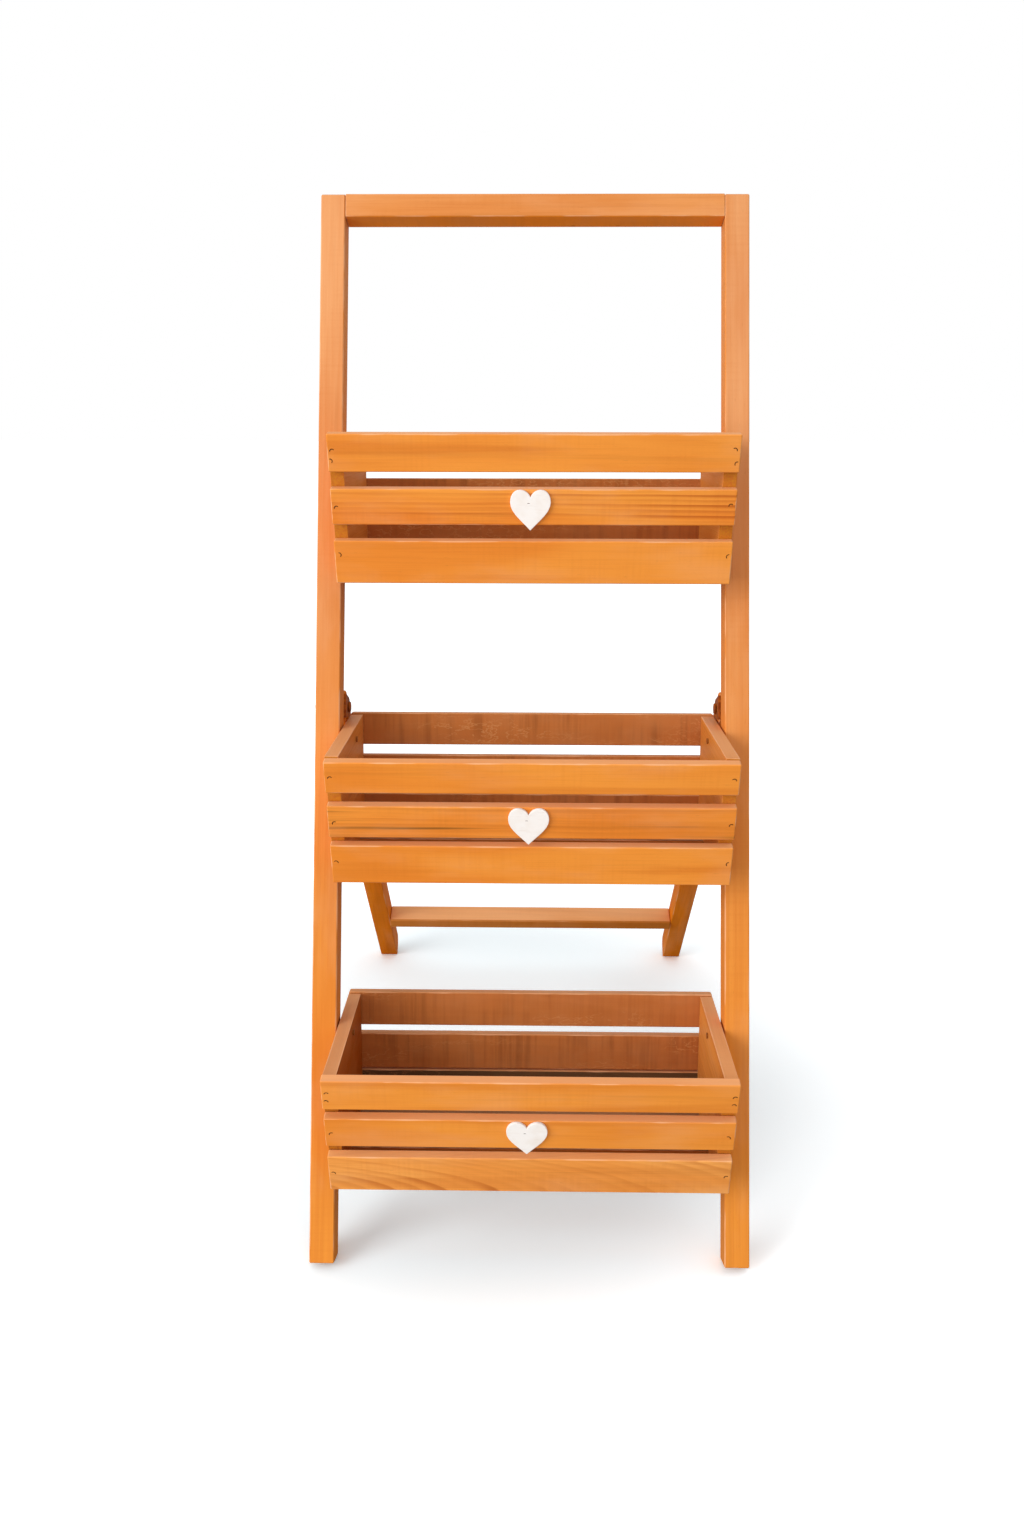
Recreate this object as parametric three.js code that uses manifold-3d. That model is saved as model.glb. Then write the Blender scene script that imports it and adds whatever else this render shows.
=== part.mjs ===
// Folding ladder stand with three open slatted crates for plants.
// Two leaning stiles and a top rail make the front frame, and three crates are screwed between
// the stiles. Two rear legs and a stretcher hang from steel fork brackets on the backs of the
// stiles and fold forwards against them.
// Millimetres. +X to the right, +Y to the back, +Z up. The outlines of nearly all pieces are drawn
// in the side view (y, z) and run along X.
import * as THREE from "three";
import { mergeVertices } from "three/addons/utils/BufferGeometryUtils.js";
import Module from "manifold-3d";

const wasm = await Module();
wasm.setup();

const DEG = Math.PI / 180;
const JOINT_GAP = 0.3; // air between two pieces that are nailed, glued or screwed together
const ARRIS = 1; // width of the eased edges of every board

// Front frame: stiles and top rail
const STAND_WIDTH = 460;
const STILE_WIDTH = 26;
const STILE_DEPTH = 28;
const STILE_LENGTH = 1138;
const STILE_TOP_ROUND = 3;
const FRONT_LEAN = 21 * DEG;
const RAIL_HEIGHT = 25;
const RAIL_DEPTH = 25.5;
const FOOT_EASE = 1.2; // height of the worn flat on the edge each foot stands on

// Rear frame: legs and stretcher
const LEG_WIDTH = 26;
const LEG_DEPTH = 30;
const REAR_LEAN = 40.5 * DEG;
const LEG_SPREAD = 8; // how far each foot stands outside its pivot
const FOOT_ROUND = 16;
const HEAD_STEP = 8; // offset of the second arc of the leg's head, which leaves the stop's facet
const STRETCHER_HEIGHT = 107; // top front edge above the floor
const STRETCHER_DEPTH = 32;
const STRETCHER_THICKNESS = 16;
const STRETCHER_TILT = 17.5 * DEG;

// Pivot: fork bracket, bolt and nut
const PIVOT_UP_STILE = 588; // from the heel of the stile
const SHEET = 2;
const EAR_GAP = 0.5; // play between the leg and each ear
const EAR_ROUND = 11;
const EAR_ROOT = 26; // width of an ear where it leaves the plate
const TAB_WIDTH = 20; // of the plate above and below the ears, where it is screwed to the stile
const PLATE_BELOW = 16;
const PLATE_ABOVE = 44;
const STOP_GAP = 0.3; // between the facet of the leg's head and the plate, when open
const BOLT_RADIUS = 3;
const BOLT_CLEARANCE = 0.3;
const BOLT_HEAD_RADIUS = 5.8;
const BOLT_HEAD = 2; // low round head on the side of the crates
const NUT_RADIUS = 5.8;
const NUT_THICKNESS = 4;
const BOLT_END = 1; // what stands out past the nut

// Crates
const CRATE_CLEARANCE = 2; // between a crate and each stile
const CRATE_TILT = 3.44 * DEG; // back edge lower than the front
const CRATE_DEPTH = 202;
const FRONT_SLOPE = 12.2 * DEG;
const BACK_SLOPE = 5.6 * DEG;
const SLAT_THICKNESS = 11;
const SIDE_THICKNESS = 13.5;
const FLOOR_BOARDS = 3;
const FLOOR_GAP = 8;
// The front and back slats are square-cut boards, nailed on by eye. Each has the two distances
// down the slope, from the level of the side boards' top edges, at which it starts and ends.
const LAST_BACK_SLAT = 91; // start of the third back slat, which reaches down to the floor
// rim: height of a crate's top front edge; proud: how far it stands in front of the stiles' face;
// fronts: the front slats; backs: the first two back slats
const CRATES = [
  {
    name: "top", rim: 835, proud: 125,
    fronts: [[-1.2, 36], [52.5, 89], [105.5, 150.5]],
    backs: [[-0.6, 34.5], [48.5, 86]],
  },
  {
    name: "middle", rim: 540.4, proud: 123.5,
    fronts: [[3.5, 37.5], [52, 88], [97.5, 142]],
    backs: [[-0.8, 35], [46.7, 86]],
  },
  {
    name: "bottom", rim: 248.2, proud: 118,
    fronts: [[-2.2, 34], [46, 82.5], [97, 142.5]],
    backs: [[-0.6, 38], [48, 89]],
  },
];

// Crate screws, two through each side board into the stile
const SCREW_DROPS = { upper: 14, lower: 85 }; // below the rim, along the stile
const SCREW_RADIUS = 2;
const SCREW_CLEARANCE = 0.3;
const SCREW_HEAD_RADIUS = 3.2;
const SCREW_HEAD = 1.4;
const SCREW_IN_STILE = 17;

// Heart trim on the middle slat of each crate
const HEART_WIDTH = 40.4;
const HEART_HEIGHT = 41;
const HEART_NOTCH = 7.4;
const HEART_THICKNESS = 3;
const HEART_OFFSET = -2.7; // hung a little left of centre

const HALF_WIDTH = STAND_WIDTH / 2;
const STILE_INSIDE = HALF_WIDTH - STILE_WIDTH;
const CRATE_HALF = STILE_INSIDE - CRATE_CLEARANCE;
const PIVOT_BEHIND = JOINT_GAP + SHEET + STOP_GAP + LEG_DEPTH / 2; // pivot behind the stile
const OPEN_ANGLE = FRONT_LEAN + REAR_LEAN;
const SIDES = { left: -1, right: 1 };

const finish = (color, roughness, metalness = 0) => ({ color, roughness, metalness });
const STAINED_PINE = finish(0xd98540, 0.62);
const DARK_PINE = finish(0xb06a30, 0.68);
const BRONZE_STEEL = finish(0x4a3a2c, 0.45, 0.8);
const WHITE_WOOD = finish(0xf2ece0, 0.7);

// A corner and a tilt in the side view: at(back, up) gives the (y, z) point that lies "back" along
// the tilted base line and "up" square to it.
class SideFrame {
  constructor(corner, tilt) {
    this.corner = corner;
    this.tilt = tilt;
  }
  at(back, up) {
    const turned = new THREE.Vector2(back, up).rotateAround(new THREE.Vector2(), this.tilt);
    return turned.add(this.corner);
  }
}

const STILE_FRAME = new SideFrame(
  new THREE.Vector2(0, STILE_DEPTH * Math.sin(FRONT_LEAN)),
  -FRONT_LEAN,
);
const PIVOT = STILE_FRAME.at(STILE_DEPTH + PIVOT_BEHIND, PIVOT_UP_STILE);
const LEG_FRAME = new SideFrame(PIVOT, REAR_LEAN);
const LEG_LENGTH = (PIVOT.y - (LEG_DEPTH / 2) * Math.sin(REAR_LEAN)) / Math.cos(REAR_LEAN);

// A closed geometry as a solid.
function solidOf(geometry) {
  const bare = geometry.clone();
  bare.deleteAttribute("normal");
  bare.deleteAttribute("uv");
  const merged = mergeVertices(bare, 1e-4);
  return new wasm.Manifold(
    new wasm.Mesh({
      numProp: 3,
      vertProperties: merged.attributes.position.array,
      triVerts: new Uint32Array(merged.index.array),
    }),
  );
}

// A solid as a geometry.
function geometryOf(solid) {
  const mesh = solid.getMesh();
  const geometry = new THREE.BufferGeometry();
  geometry.setAttribute("position", new THREE.BufferAttribute(mesh.vertProperties, 3));
  geometry.setIndex(new THREE.BufferAttribute(mesh.triVerts, 1));
  const flat = geometry.toNonIndexed();
  flat.computeVertexNormals();
  return flat;
}

// An outline in the side view, run along X from x0 to x1, with its end edges eased.
function prism(outline, x0, x1, ease = 0) {
  const geometry = new THREE.ExtrudeGeometry(new THREE.Shape(outline), {
    depth: x1 - x0 - 2 * ease,
    bevelEnabled: ease > 0,
    bevelThickness: ease,
    bevelSize: ease,
    bevelOffset: -ease,
    bevelSegments: 1,
  });
  geometry.translate(0, 0, x0 + ease);
  const sideView = new THREE.Matrix4().makeBasis(
    new THREE.Vector3(0, 1, 0),
    new THREE.Vector3(0, 0, 1),
    new THREE.Vector3(1, 0, 0),
  );
  return solidOf(geometry.applyMatrix4(sideView));
}

// The outline with each corner cut back by the same length along both of its sides.
function eased(outline, cut = ARRIS) {
  return outline.flatMap((corner, i) => {
    const before = outline[(i + outline.length - 1) % outline.length];
    const after = outline[(i + 1) % outline.length];
    return [before, after].map((end) =>
      corner.clone().add(end.clone().sub(corner).setLength(cut)),
    );
  });
}

// Points on an arc of the side view, in a frame, from one angle to another.
function arc(frame, back, up, radius, from, to, steps) {
  return Array.from({ length: steps + 1 }, (_, i) => {
    const angle = from + ((to - from) * i) / steps;
    return frame.at(back + radius * Math.cos(angle), up + radius * Math.sin(angle));
  });
}

// A round or six-sided bar along X from x0 to x1, centred on a point of the side view.
function bar(centre, radius, x0, x1, sides = 16) {
  const geometry = new THREE.CylinderGeometry(radius, radius, Math.abs(x1 - x0), sides);
  geometry.rotateZ(Math.PI / 2);
  geometry.translate((x0 + x1) / 2, centre.x, centre.y);
  return solidOf(geometry);
}

// An X span on one side of the stand, given as distances from the middle, lowest first.
function span(side, a, b) {
  return [side * a, side * b].sort((p, q) => p - q);
}

// Takes off the sharp edge that a foot stands on.
function standFlat(solid) {
  const slab = new THREE.BoxGeometry(2 * STAND_WIDTH, 4 * STILE_LENGTH, 2 * STILE_DEPTH);
  slab.translate(0, 0, FOOT_EASE - STILE_DEPTH);
  return solid.subtract(solidOf(slab));
}

// Where a crate sits: its frame starts at the top front edge of the rim.
function crateFrame({ rim, proud }) {
  const stileFace = (rim - STILE_FRAME.corner.y) * Math.tan(FRONT_LEAN);
  return new SideFrame(new THREE.Vector2(stileFace - proud, rim), -CRATE_TILT);
}

// Height of a crate's walls, square to its rim.
function crateHeight({ fronts }) {
  const [, lowest] = fronts.at(-1);
  return lowest * Math.cos(FRONT_SLOPE);
}

// Centres of the two screws of a crate on the middle line of the stile.
function screwCentres(crate) {
  const frame = crateFrame(crate);
  const middle = STILE_DEPTH / 2;
  const foot = STILE_FRAME.at(middle, 0);
  const rise = Math.cos(FRONT_LEAN) + Math.sin(FRONT_LEAN) * Math.tan(CRATE_TILT);
  const lift = frame.corner.y - foot.y - (foot.x - frame.corner.x) * Math.tan(CRATE_TILT);
  const atRim = lift / rise;
  return Object.entries(SCREW_DROPS).map(([name, drop]) => ({
    name,
    centre: STILE_FRAME.at(middle, atRim - drop),
  }));
}

function stile(side) {
  const rounding = [
    ...arc(STILE_FRAME, STILE_DEPTH - STILE_TOP_ROUND, STILE_LENGTH - STILE_TOP_ROUND,
      STILE_TOP_ROUND, 0, Math.PI / 2, 4),
    ...arc(STILE_FRAME, STILE_TOP_ROUND, STILE_LENGTH - STILE_TOP_ROUND,
      STILE_TOP_ROUND, Math.PI / 2, Math.PI, 4),
  ];
  const feet = [
    STILE_FRAME.at(0, ARRIS),
    STILE_FRAME.at(ARRIS, 0),
    STILE_FRAME.at(STILE_DEPTH, 0),
  ];
  let solid = prism([...feet, ...rounding], ...span(side, STILE_INSIDE, HALF_WIDTH), ARRIS);
  for (const crate of CRATES) {
    for (const { centre } of screwCentres(crate)) {
      const hole = span(side, STILE_INSIDE - 1, STILE_INSIDE + SCREW_IN_STILE + SCREW_CLEARANCE);
      solid = solid.subtract(bar(centre, SCREW_RADIUS + SCREW_CLEARANCE, ...hole, 12));
    }
  }
  return standFlat(solid);
}

function topRail() {
  const outline = [
    STILE_FRAME.at(0, STILE_LENGTH - RAIL_HEIGHT),
    STILE_FRAME.at(RAIL_DEPTH, STILE_LENGTH - RAIL_HEIGHT),
    STILE_FRAME.at(RAIL_DEPTH, STILE_LENGTH),
    STILE_FRAME.at(0, STILE_LENGTH),
  ];
  const end = STILE_INSIDE - JOINT_GAP;
  return prism(eased(outline), -end, end);
}

// A point on a sloping wall of a crate: down the slope from the rim, and in from its outer face.
function wallPoint(frame, wall, down, inward) {
  const front = wall === "front";
  const slope = front ? FRONT_SLOPE : BACK_SLOPE;
  const back = down * Math.sin(slope) + inward * Math.cos(slope);
  const up = inward * Math.sin(slope) - down * Math.cos(slope);
  return frame.at(front ? back : CRATE_DEPTH - back, up);
}

// Where the slats of a wall start and end, down its slope.
function slatEdges(crate, wall) {
  if (wall === "front") {
    return crate.fronts;
  }
  return [...crate.backs, [LAST_BACK_SLAT, crateHeight(crate) / Math.cos(BACK_SLOPE)]];
}

// One board of a sloping wall.
function wallSlat(crate, wall, [start, end]) {
  const frame = crateFrame(crate);
  const outline = [
    wallPoint(frame, wall, start, 0),
    wallPoint(frame, wall, end, 0),
    wallPoint(frame, wall, end, SLAT_THICKNESS),
    wallPoint(frame, wall, start, SLAT_THICKNESS),
  ];
  return prism(eased(outline), -CRATE_HALF, CRATE_HALF, ARRIS);
}

// Side board: a trapezoid that carries the slats on its sloping ends and the floor underneath.
function crateSide(crate, side) {
  const frame = crateFrame(crate);
  const inset = SLAT_THICKNESS + JOINT_GAP;
  const height = crateHeight(crate) - inset;
  const corner = (wall, drop) => {
    const slope = wall === "front" ? FRONT_SLOPE : BACK_SLOPE;
    const level = inset * Math.tan(slope) + drop / Math.cos(slope);
    return wallPoint(frame, wall, level, inset);
  };
  const outline = [
    corner("front", 0),
    corner("front", height),
    corner("back", height),
    corner("back", 0),
  ];
  const inside = CRATE_HALF - SIDE_THICKNESS;
  let solid = prism(eased(outline), ...span(side, inside, CRATE_HALF));
  for (const { centre } of screwCentres(crate)) {
    const hole = span(side, inside - 1, CRATE_HALF + 1);
    solid = solid.subtract(bar(centre, SCREW_RADIUS + SCREW_CLEARANCE, ...hole, 12));
  }
  return solid;
}

// Floor boards lie between the front and back walls, under the side boards.
function floorBoard(crate, index) {
  const frame = crateFrame(crate);
  const height = crateHeight(crate);
  const front = height * Math.tan(FRONT_SLOPE) + SLAT_THICKNESS / Math.cos(FRONT_SLOPE);
  const rear = height * Math.tan(BACK_SLOPE) + SLAT_THICKNESS / Math.cos(BACK_SLOPE);
  const room = CRATE_DEPTH - front - rear - 2 * JOINT_GAP;
  const width = (room - (FLOOR_BOARDS - 1) * FLOOR_GAP) / FLOOR_BOARDS;
  const start = front + JOINT_GAP + index * (width + FLOOR_GAP);
  const outline = [
    frame.at(start, -height),
    frame.at(start + width, -height),
    frame.at(start + width, SLAT_THICKNESS - height),
    frame.at(start, SLAT_THICKNESS - height),
  ];
  return prism(eased(outline), -CRATE_HALF, CRATE_HALF, ARRIS);
}

// Screw from inside a crate through its side board and across the gap into the stile.
function crateScrew(centre, side) {
  const face = CRATE_HALF - SIDE_THICKNESS - JOINT_GAP;
  const head = bar(centre, SCREW_HEAD_RADIUS, ...span(side, face - SCREW_HEAD, face), 12);
  const tip = STILE_INSIDE + SCREW_IN_STILE;
  return head.add(bar(centre, SCREW_RADIUS, ...span(side, face - SCREW_HEAD / 2, tip), 12));
}

// Flat heart with its notch on top, standing on the face of the middle slat.
function heart(crate) {
  const frame = crateFrame(crate);
  const [start] = slatEdges(crate, "front")[1];
  // The right half, from the notch over the lobe to the tip. Heights are shares of the heart's.
  const half = HEART_WIDTH / 2;
  const path = new THREE.Path();
  const lobe = (...shares) =>
    path.bezierCurveTo(...shares.map((share, k) => share * (k % 2 ? HEART_HEIGHT : half)));
  path.moveTo(0, -HEART_NOTCH);
  lobe(0.12, -0.04, 0.34, 0, 0.52, 0);
  lobe(0.82, 0, 1, -0.14, 1, -0.3);
  lobe(1, -0.56, 0.42, -0.76, 0, -1);
  const right = path.getPoints(7);
  const left = right.slice(1, -1).reverse().map(({ x, y }) => new THREE.Vector2(-x, y));
  const geometry = new THREE.ExtrudeGeometry(new THREE.Shape([...right, ...left]), {
    depth: HEART_THICKNESS,
    bevelEnabled: false,
  });
  geometry.rotateX(Math.PI / 2 + FRONT_SLOPE - CRATE_TILT);
  const seat = wallPoint(frame, "front", start, -JOINT_GAP);
  geometry.translate(HEART_OFFSET, seat.x, seat.y);
  return solidOf(geometry);
}

// Side view of a rear leg. Its head is round about the pivot as far as the opening angle. There a
// flat facet begins that comes to bear on the bracket's plate, which stops the leg.
function legOutline() {
  const half = LEG_DEPTH / 2;
  const facing = Math.PI - OPEN_ANGLE; // direction of the plate, seen from the pivot when open
  const bisector = facing / 2;
  const top = half - HEAD_STEP * Math.cos(bisector);
  const back = HEAD_STEP * Math.cos(bisector);
  const up = HEAD_STEP * Math.sin(bisector);
  const foot = -LEG_LENGTH;
  return [
    LEG_FRAME.at(-half, foot),
    ...arc(LEG_FRAME, half - FOOT_ROUND, foot + FOOT_ROUND, FOOT_ROUND, -Math.PI / 2, 0, 7),
    ...arc(LEG_FRAME, back, up, top, 0, facing, 9),
    ...arc(LEG_FRAME, 0, 0, half, facing, Math.PI, 6),
  ];
}

// X of the inner face of a leg at the pivot.
const LEG_INSIDE = HALF_WIDTH - (STILE_WIDTH + LEG_WIDTH) / 2;

// Distance that a leg has spread outwards at a point below its pivot.
function spreadAt(down) {
  return (LEG_SPREAD * down) / LEG_LENGTH;
}

function rearLeg(side) {
  const flat = prism(legOutline(), ...span(side, LEG_INSIDE, LEG_INSIDE + LEG_WIDTH), ARRIS);
  const geometry = geometryOf(flat);
  const downY = Math.sin(REAR_LEAN);
  const downZ = -Math.cos(REAR_LEAN);
  const rate = (side * LEG_SPREAD) / LEG_LENGTH;
  const shear = new THREE.Matrix4().set(
    1, rate * downY, rate * downZ, -rate * (downY * PIVOT.x + downZ * PIVOT.y),
    0, 1, 0, 0,
    0, 0, 1, 0,
    0, 0, 0, 1,
  );
  const spread = solidOf(geometry.applyMatrix4(shear));
  const bore = span(side, LEG_INSIDE - 1, LEG_INSIDE + LEG_WIDTH + 1);
  return standFlat(spread.subtract(bar(PIVOT, BOLT_RADIUS + BOLT_CLEARANCE, ...bore, 24)));
}

// Stretcher: a board between the legs with its top front edge on the legs' front faces.
function stretcher() {
  const half = LEG_DEPTH / 2;
  const level = LEG_FRAME.at(-half, 0).y - STRETCHER_HEIGHT;
  const down = level / Math.cos(REAR_LEAN);
  const frame = new SideFrame(LEG_FRAME.at(-half, -down), STRETCHER_TILT);
  const outline = [
    frame.at(0, -STRETCHER_THICKNESS),
    frame.at(STRETCHER_DEPTH, -STRETCHER_THICKNESS),
    frame.at(STRETCHER_DEPTH, 0),
    frame.at(0, 0),
  ];
  const end = LEG_INSIDE + spreadAt(down) - JOINT_GAP;
  return prism(eased(outline, 2 * ARRIS), -end, end, ARRIS);
}

// Fork bracket: a narrow plate on the back of the stile, and a wider bridge across it with the two
// ears that take the bolt.
function bracket(side) {
  const near = LEG_INSIDE - EAR_GAP;
  const far = LEG_INSIDE + LEG_WIDTH + EAR_GAP;
  const seat = STILE_DEPTH + JOINT_GAP;
  const plate = [
    STILE_FRAME.at(seat, PIVOT_UP_STILE - PLATE_BELOW),
    STILE_FRAME.at(seat + SHEET, PIVOT_UP_STILE - PLATE_BELOW),
    STILE_FRAME.at(seat + SHEET, PIVOT_UP_STILE + PLATE_ABOVE),
    STILE_FRAME.at(seat, PIVOT_UP_STILE + PLATE_ABOVE),
  ];
  const ear = [
    STILE_FRAME.at(seat, PIVOT_UP_STILE - EAR_ROOT / 2),
    ...arc(STILE_FRAME, STILE_DEPTH + PIVOT_BEHIND, PIVOT_UP_STILE, EAR_ROUND,
      -Math.PI / 2, Math.PI / 2, 12),
    STILE_FRAME.at(seat, PIVOT_UP_STILE + EAR_ROOT / 2),
  ];
  const bridge = [
    STILE_FRAME.at(seat, PIVOT_UP_STILE - EAR_ROOT / 2),
    STILE_FRAME.at(seat + SHEET, PIVOT_UP_STILE - EAR_ROOT / 2),
    STILE_FRAME.at(seat + SHEET, PIVOT_UP_STILE + EAR_ROOT / 2),
    STILE_FRAME.at(seat, PIVOT_UP_STILE + EAR_ROOT / 2),
  ];
  const margin = (LEG_WIDTH - TAB_WIDTH) / 2;
  const tab = span(side, LEG_INSIDE + margin, LEG_INSIDE + margin + TAB_WIDTH);
  const solid = prism(plate, ...tab)
    .add(prism(bridge, ...span(side, near - SHEET, far + SHEET)))
    .add(prism(ear, ...span(side, near - SHEET, near)))
    .add(prism(ear, ...span(side, far, far + SHEET)));
  const hole = span(side, near - 2 * SHEET, far + 2 * SHEET);
  return solid.subtract(bar(PIVOT, BOLT_RADIUS + BOLT_CLEARANCE, ...hole, 24));
}

// X of the bolt head's and the nut's inner faces, against the inner and the outer ear.
const HEAD_SEAT = LEG_INSIDE - EAR_GAP - SHEET - JOINT_GAP;
const NUT_SEAT = LEG_INSIDE + LEG_WIDTH + EAR_GAP + SHEET + JOINT_GAP;

// Bolt with a low round head, put in from the side of the crates.
function pivotBolt(side) {
  const tip = NUT_SEAT + NUT_THICKNESS + BOLT_END;
  const head = bar(PIVOT, BOLT_HEAD_RADIUS, ...span(side, HEAD_SEAT - BOLT_HEAD, HEAD_SEAT), 24);
  return head.add(bar(PIVOT, BOLT_RADIUS, ...span(side, HEAD_SEAT - BOLT_HEAD / 2, tip), 24));
}

function pivotNut(side) {
  const body = bar(PIVOT, NUT_RADIUS, ...span(side, NUT_SEAT, NUT_SEAT + NUT_THICKNESS), 6);
  const hole = span(side, NUT_SEAT - 1, NUT_SEAT + NUT_THICKNESS + 1);
  return body.subtract(bar(PIVOT, BOLT_RADIUS + BOLT_CLEARANCE, ...hole, 24));
}

const stand = new THREE.Group();

function add(name, solid, look) {
  const mesh = new THREE.Mesh(geometryOf(solid), new THREE.MeshStandardMaterial(look));
  mesh.name = name;
  stand.add(mesh);
}

function addCrate(crate) {
  const { name } = crate;
  for (const [hand, side] of Object.entries(SIDES)) {
    add(`${name}_crate_side_${hand}`, crateSide(crate, side), DARK_PINE);
    for (const screw of screwCentres(crate)) {
      const label = `${name}_crate_screw_${hand}_${screw.name}`;
      add(label, crateScrew(screw.centre, side), BRONZE_STEEL);
    }
  }
  for (const wall of ["front", "back"]) {
    slatEdges(crate, wall).forEach((edges, i) => {
      const look = wall === "front" ? STAINED_PINE : DARK_PINE;
      add(`${name}_crate_${wall}_slat_${i + 1}`, wallSlat(crate, wall, edges), look);
    });
  }
  for (let i = 0; i < FLOOR_BOARDS; i += 1) {
    add(`${name}_crate_floor_board_${i + 1}`, floorBoard(crate, i), DARK_PINE);
  }
  add(`${name}_crate_heart`, heart(crate), WHITE_WOOD);
}

for (const [hand, side] of Object.entries(SIDES)) {
  add(`stile_${hand}`, stile(side), STAINED_PINE);
  add(`rear_leg_${hand}`, rearLeg(side), STAINED_PINE);
  add(`fork_bracket_${hand}`, bracket(side), BRONZE_STEEL);
  add(`pivot_bolt_${hand}`, pivotBolt(side), BRONZE_STEEL);
  add(`pivot_nut_${hand}`, pivotNut(side), BRONZE_STEEL);
}
add("top_rail", topRail(), STAINED_PINE);
add("stretcher", stretcher(), STAINED_PINE);
CRATES.forEach(addCrate);

// The frame's origin is the middle of the stand's footprint, on the floor.
const box = new THREE.Box3().setFromObject(stand);
const middle = box.getCenter(new THREE.Vector3());
for (const mesh of stand.children) {
  mesh.geometry.translate(-middle.x, -middle.y, -box.min.z);
}

export default stand;
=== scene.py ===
import logging
import math
from dataclasses import dataclass, field
from enum import Enum

import bmesh
import bpy
from mathutils import Matrix, Vector


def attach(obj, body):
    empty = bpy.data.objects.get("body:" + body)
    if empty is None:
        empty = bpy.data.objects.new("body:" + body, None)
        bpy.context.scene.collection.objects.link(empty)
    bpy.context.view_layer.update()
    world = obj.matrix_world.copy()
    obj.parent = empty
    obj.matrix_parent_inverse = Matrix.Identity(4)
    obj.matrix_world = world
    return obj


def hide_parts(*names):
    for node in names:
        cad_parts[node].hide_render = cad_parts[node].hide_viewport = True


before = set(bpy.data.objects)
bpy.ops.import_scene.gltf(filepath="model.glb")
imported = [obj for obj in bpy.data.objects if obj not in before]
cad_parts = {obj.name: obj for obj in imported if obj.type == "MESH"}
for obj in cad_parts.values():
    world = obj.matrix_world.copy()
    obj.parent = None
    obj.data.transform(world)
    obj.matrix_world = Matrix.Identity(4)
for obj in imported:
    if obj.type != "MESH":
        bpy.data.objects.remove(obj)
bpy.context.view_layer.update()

LOG = logging.getLogger("plant_ladder")
MM = 0.001
MERGE = 0.01 * MM  # corners nearer than this are one
BEVEL_MERGE = 0.002 * MM  # the same after an edge is rounded
FLAT = math.radians(0.3)  # faces that meet at less than this are one
SHARP = math.radians(20)  # an edge that turns further than this is an arris
BEVEL_STEPS = 2
FACING = 0.7  # cosine above which a face looks a given way
END_GRAIN = 0.75  # cosine above which a face cuts across the grain
ALONGSIDE = 0.1  # cosine below which a face runs along an edge
IN_PLANE = 0.1 * MM
FLAT_WEIGHT = 80  # per cent by which broad faces decide the shading of the roundings beside them
FRONT_BODY, REAR_BODY = "front_frame", "rear_frame"
TO_FRONT, TO_REAR = -1, 1

Number3 = tuple[float, float, float]
Number4 = tuple[float, float, float, float]


class Slot(Enum):
    """The record's material slots."""

    PINE = "stained_pine"
    SHADE = "stained_pine_shade"
    STEEL = "bronzed_steel"
    PAINT = "white_painted_wood"


class Side(Enum):
    """The sides of the stand, seen from the front."""

    LEFT = "left"
    RIGHT = "right"


def linear(code: str) -> Number4:
    """Turn an sRGB hex colour into linear light.

    Args:
        code: The colour as "#RRGGBB".

    Returns:
        Red, green, blue and an alpha of 1.
    """
    parts = [int(code[i : i + 2], 16) / 255 for i in (1, 3, 5)]
    light = [p / 12.92 if p <= 0.04045 else ((p + 0.055) / 1.055) ** 2.4 for p in parts]
    return (*light, 1.0)


class NodeSheet:
    """The node tree of a material or of the world, with one way to add a node to it."""

    CHOICE = {"Math": "operation", "VectorMath": "operation", "MapRange": "interpolation_type",
              "Mix": "data_type", "Attribute": "attribute_type", "TexWhiteNoise": "noise_dimensions"}

    def __init__(self, owner: bpy.types.Material | bpy.types.World) -> None:
        """Clear the owner's tree.

        Args:
            owner: What the tree belongs to.
        """
        owner.use_nodes = True
        self.owner = owner
        self.tree = owner.node_tree
        self.tree.nodes.clear()

    def add(self, kind: str, *values: object, inputs: dict | None = None,
            **settings: object) -> bpy.types.Node:
        """Add one node with its settings and links.

        Args:
            kind: The node's class without its ShaderNode prefix and, after a dot, its main choice, as in
                "Math.ADD".
            *values: What goes into the inputs in use, in their order. It is a number, a vector, a colour,
                a socket, or a node whose first output in use is taken.
            inputs: The same for inputs by name.
            **settings: The node's other properties.

        Returns:
            The node.
        """
        kind, _, choice = kind.partition(".")
        node = self.tree.nodes.new("ShaderNode" + kind)
        if choice:
            setattr(node, self.CHOICE[kind], choice)
        for key, value in settings.items():
            setattr(node, key, value)
        in_use = [socket for socket in node.inputs if socket.enabled]
        named = [(node.inputs[name], value) for name, value in (inputs or {}).items()]
        for socket, value in [*zip(in_use, values), *named]:
            if isinstance(value, bpy.types.Node):
                value = next(output for output in value.outputs if output.enabled)
            if isinstance(value, bpy.types.NodeSocket):
                self.tree.links.new(value, socket)
            else:
                socket.default_value = value
        return node

    def mottle(self, place: object, per_metre: Number3, detail: float = 2.0) -> bpy.types.Node:
        """Draw uneven mottling, stretched to a real size along each axis.

        Args:
            place: The coordinates that it follows, in metres.
            per_metre: Features per metre along each axis: 1000 over their size in millimetres.
            detail: How many finer layers lie over it.

        Returns:
            The pattern, from 0 to 1.
        """
        spread = self.add("VectorMath.MULTIPLY", place, per_metre)
        return self.add("TexNoise", inputs={"Vector": spread, "Scale": 1.0, "Detail": detail,
                                            "Roughness": 0.55})

    def lay(self, colour: object, *coats: tuple[object, object]) -> object:
        """Lay coats over a colour.

        Args:
            colour: What is underneath.
            *coats: Each coat's mask and tone, in order.

        Returns:
            The colour that shows.
        """
        for mask, tone in coats:
            colour = self.add("Mix.RGBA", mask, colour, tone)
        return colour


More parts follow.
